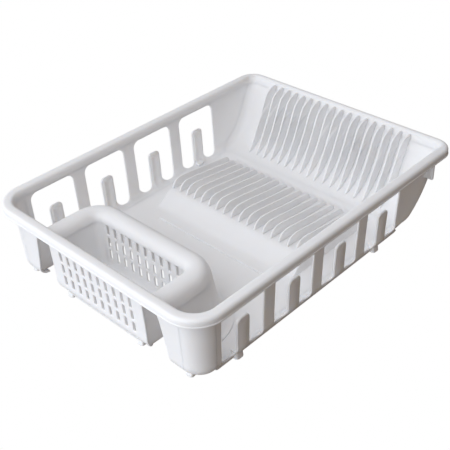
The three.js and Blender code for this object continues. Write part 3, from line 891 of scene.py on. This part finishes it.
def end_fin_outline():
    """Pointed at the bottom, following the end wall, and rounded off just under the rim."""
    front = through([(163.6, 10.4), (167.0, 14.6), (171.0, 20.8), (174.8, 27.0), (181.0, 40.0),
                     (186.5, 50.0), (191.0, 60.0), (197.0, 73.5), (201.8, 84.5), (205.4, 91.4),
                     (209.6, 95.8), (215.0, 98.6), (220.5, 100.2), (226.0, 100.9)], 40)
    outline = [(x, z, 1.0) for x, z in front]
    outline.append((228.6, 98.0, 0.0))
    back = [(x + 0.8, z - 0.4, 0.0) for x, z in END_LINE[::-1] if z > 10.6]
    return outline + [(x, z, f) for x, z, f in back if z < 91.0]


def fins():
    plate, end = plate_fin_outline(), end_fin_outline()
    for n in range(1, FIN_COUNT + 1):
        fin(f"plate_blade_{n:02d}", f"plate_fin_{n:02d}", plate, 0.25)
        fin(f"end_blade_{n:02d}", f"end_fin_{n:02d}", end, 0.25)


# ---- feet and gussets ------------------------------------------------------------------------------

def block(name, nodes, low, high, lean_in, height):
    """Short rounded foot that grows into the wall above it."""
    bm = bmesh.new()
    cx, cy = (low[0] + high[0]) / 2, (low[1] + high[1]) / 2
    hx, hy = (high[0] - low[0]) / 2, (high[1] - low[1]) / 2
    r = min(hx, hy) * 0.55
    loop = []
    for sx, sy, start in ((1, 1, 0), (-1, 1, 90), (-1, -1, 180), (1, -1, 270)):
        loop += arc(cx + sx * (hx - r), cy + sy * (hy - r), r, r, start, start + 90, 6)
    rings = []
    for z, shift in ((0.0, 0.0), (height, 1.0)):
        dx, dy = lean_in[0] * shift, lean_in[1] * shift
        rings.append([bm.verts.new(((x + dx) * MM, (y + dy) * MM, z * MM)) for x, y in loop])
    bottom = bm.faces.new(list(reversed(rings[0])))
    bm.faces.new(rings[1])
    count = len(loop)
    for i in range(count):
        j = (i + 1) % count
        bm.faces.new((rings[0][i], rings[0][j], rings[1][j], rings[1][i]))
    bmesh.ops.bevel(bm, geom=list(bottom.edges), offset=0.9 * MM, segments=3, profile=0.5, affect="EDGES")
    return from_bmesh(name, bm, nodes, WHITE)


def foot(name, node, lean_in, height):
    low, high = cad_box(node)
    return block(name, [node], low, high, lean_in, height)


CURB = [(155.0, 3.4), (155.6, 2.3), (156.6, 1.9), (159.4, 1.9), (160.3, 2.4), (160.7, 3.4),
        (160.7, 6.4), (159.0, 6.8), (156.5, 5.6)]
CURB_MIDDLE = 5.0
SIDE_CURB = (-197.0, 146.0)
BASKET_CURB = (-68.0, 68.0)
NUB_X = (-223.0, -215.0)
NUB_Y = 64.0
NUB_HALF = 5.0
NUB_HEIGHT = 6.0
NUB_LEAN = 1.5
FOOT_HEIGHT = 11.0
CORNER_FOOT_HEIGHT = 6.0
FOOT_LEAN = 2.0


def curb(name, place, start, end):
    """Low rail along the underside of a wall, faded out at both ends."""
    rows = []
    stops = [start, start + 1.5, *spaced(start + 4.0, end - 4.0, 12), end - 1.5, end]
    for at in stops:
        share = min(1.0, 0.3 + min(at - start, end - at) / 4.0)
        rows.append([place(at, across, CURB_MIDDLE + (z - CURB_MIDDLE) * share) for across, z in CURB])
    count = len(CURB)
    points = [p for row in rows for p in row]
    faces = [tuple(range(count)), tuple(range(len(points) - count, len(points)))]
    for j in range(len(rows) - 1):
        for i in range(count):
            k = (i + 1) % count
            faces.append((j * count + i, j * count + k, (j + 1) * count + k, (j + 1) * count + i))
    return piece(name, points, faces, [], WHITE)


def curbs():
    """Rails under the two side walls and the basket wall, and the two nubs by the basket."""
    shift = END_TOP - SIDE_TOP
    for word, side in (("near", -1), ("far", 1)):
        curb(f"{word}_curb", lambda at, across, z, s=side: (at, s * across, z), *SIDE_CURB)
        low = (NUB_X[0], side * NUB_Y - NUB_HALF)
        high = (NUB_X[1], side * NUB_Y + NUB_HALF)
        block(f"{word}_basket_nub", [], low, high, (NUB_LEAN, 0.0), NUB_HEIGHT)
    curb("basket_curb", lambda at, across, z: (-across - shift, at, z), *BASKET_CURB)


def gusset(name, node, side):
    """Thin web from the side wall to the skirt of the rim."""
    low, high = cad_box(node)
    outer = HALF_WIDTH - WALL + 0.6
    inner = SIDE_TOP - DRAFT + lean(GUSSET_BOTTOM) - 0.8
    outline = [(inner, GUSSET_BOTTOM), (outer - 1.6, GUSSET_BOTTOM), (outer - 0.4, GUSSET_BOTTOM + 0.6),
               (outer, GUSSET_BOTTOM + 1.8), (outer, high.z), (inner + 1.0, high.z)]
    bm = bmesh.new()
    faces = [[bm.verts.new((x * MM, side * y * MM, z * MM)) for y, z in outline] for x in (low.x, high.x)]
    bm.faces.new(faces[0])
    bm.faces.new(list(reversed(faces[1])))
    for i in range(len(outline)):
        j = (i + 1) % len(outline)
        bm.faces.new((faces[0][j], faces[0][i], faces[1][i], faces[1][j]))
    bmesh.ops.bevel(bm, geom=list(bm.edges), offset=0.35 * MM, segments=2, profile=0.5, affect="EDGES")
    return from_bmesh(name, bm, [node], WHITE)


# ---- the whole rack -----------------------------------------------------------------------------------

def build_rack():
    rolled_rim()
    side_wall("near_side", ["near_side_wall"], -1)
    side_wall("far_side", ["far_side_wall"], 1)
    sloping_end()
    corner_post("near_post", ["near_corner_post"], -1)
    corner_post("far_post", ["far_corner_post"], 1)
    basket_end()
    divider_wall()
    divider_ridge()
    basket_flank("near_flank", ["basket_near_flank"], -1)
    basket_flank("far_flank", ["basket_far_flank"], 1)
    basket_inner()
    basket_floor()
    tub_floor()
    drain_step()
    fins()
    curbs()
    for word, side in (("near", -1), ("far", 1)):
        for place in ("basket", "slope"):
            foot(f"{word}_{place}_foot", f"foot_{word}_{place}", (0.0, -FOOT_LEAN * side), FOOT_HEIGHT)
        foot(f"{word}_corner_foot", f"foot_{word}_corner", (FOOT_LEAN, 0.0), CORNER_FOOT_HEIGHT)
        gusset(f"{word}_gusset", f"rim_gusset_{word}", side)


build_rack()


# ---- floor, light and camera ---------------------------------------------------------------------------

DOME_RADIUS = 6.0
LAMP_DISTANCE = 1.6
SKY_TOWARDS = (-0.70, 0.65, 0.35)
SKY_DIM = (0.10, 0.065, 0.035, 1.0)
SKY_BRIGHT = (0.90, 0.92, 0.97, 1.0)
CAMERA_AT = (-0.63495, -0.62261, 0.64606)
CAMERA_AZIMUTH = 44.97
CAMERA_ELEVATION = 35.23
CAMERA_ROLL = -2.54
CAMERA_LENS = 65.63


def glowing(name, strength):
    material = bpy.data.materials.new(name)
    material.use_nodes = True
    nodes, links = material.node_tree.nodes, material.node_tree.links
    nodes.remove(nodes["Principled BSDF"])
    glow = nodes.new("ShaderNodeEmission")
    glow.inputs["Color"].default_value = (1.0, 1.0, 1.0, 1.0)
    glow.inputs["Strength"].default_value = strength
    links.new(glow.outputs["Emission"], nodes["Material Output"].inputs["Surface"])
    return material


def backdrop():
    """A pale floor and a dome that meet without a line and leave the light alone."""
    bm = bmesh.new()
    bmesh.ops.create_icosphere(bm, subdivisions=4, radius=DOME_RADIUS)
    for vert in bm.verts:
        vert.co.z = max(vert.co.z, -0.0005)
    mesh = bpy.data.meshes.new("backdrop")
    bm.to_mesh(mesh)
    bm.free()
    sweep = bpy.data.objects.new("backdrop", mesh)
    bpy.context.scene.collection.objects.link(sweep)
    mesh.materials.append(glowing("pale_backdrop", 1.0))
    for ray in ("diffuse", "glossy", "transmission", "volume_scatter", "shadow"):
        setattr(sweep, f"visible_{ray}", False)


def area_light(name, direction, size, power, colour):
    data = bpy.data.lights.new(name, "AREA")
    data.shape = "DISK"
    data.size = size
    data.energy = power
    data.color = colour
    lamp = bpy.data.objects.new(name, data)
    away = Vector(direction).normalized()
    lamp.location = away * LAMP_DISTANCE
    lamp.rotation_mode = "QUATERNION"
    lamp.rotation_quaternion = away.to_track_quat("Z", "Y")
    bpy.context.scene.collection.objects.link(lamp)


def sky():
    """Soft room light: cool from the window side above, warm and dim from the near side below."""
    world = bpy.data.worlds.new("room")
    world.use_nodes = True
    nodes, links = world.node_tree.nodes, world.node_tree.links
    place = nodes.new("ShaderNodeTexCoord")
    facing = nodes.new("ShaderNodeVectorMath")
    facing.operation = "DOT_PRODUCT"
    facing.inputs[1].default_value = Vector(SKY_TOWARDS).normalized()
    level = nodes.new("ShaderNodeMapRange")
    level.inputs["From Min"].default_value = -1.0
    level.inputs["From Max"].default_value = 1.0
    ramp = nodes.new("ShaderNodeValToRGB")
    ramp.color_ramp.elements[0].position = 0.2
    ramp.color_ramp.elements[0].color = SKY_DIM
    ramp.color_ramp.elements[1].position = 0.95
    ramp.color_ramp.elements[1].color = SKY_BRIGHT
    links.new(place.outputs["Generated"], facing.inputs[0])
    links.new(facing.outputs["Value"], level.inputs["Value"])
    links.new(level.outputs["Result"], ramp.inputs["Fac"])
    links.new(ramp.outputs["Color"], nodes["Background"].inputs["Color"])
    nodes["Background"].inputs["Strength"].default_value = 1.0
    bpy.context.scene.world = world


def camera():
    """Looks down along the diagonal from the near corner of the basket end."""
    azimuth = math.radians(CAMERA_AZIMUTH)
    elevation = math.radians(CAMERA_ELEVATION)
    roll = math.radians(CAMERA_ROLL)
    ahead = Vector((math.cos(elevation) * math.sin(azimuth), math.cos(elevation) * math.cos(azimuth),
                    -math.sin(elevation)))
    level = Vector((math.cos(azimuth), -math.sin(azimuth), 0.0))
    above = level.cross(ahead)
    right = level * math.cos(roll) + above * math.sin(roll)
    up = above * math.cos(roll) - level * math.sin(roll)
    data = bpy.data.cameras.new("camera")
    data.lens = CAMERA_LENS
    data.sensor_width = 36.0
    data.clip_start, data.clip_end = 0.05, 50.0
    eye = bpy.data.objects.new("camera", data)
    turn = Matrix((right, up, -ahead)).transposed().to_4x4()
    eye.matrix_world = Matrix.Translation(CAMERA_AT) @ turn
    bpy.context.scene.collection.objects.link(eye)
    bpy.context.scene.camera = eye


backdrop()
sky()
area_light("window", (-0.60, -0.05, 0.75), 1.2, 7.5, (0.97, 0.98, 1.0))
area_light("low_window", (-1.0, 0.1, 0.08), 1.6, 4.6, (0.88, 0.93, 1.0))
camera()
bpy.context.scene.view_settings.view_transform = "Standard"
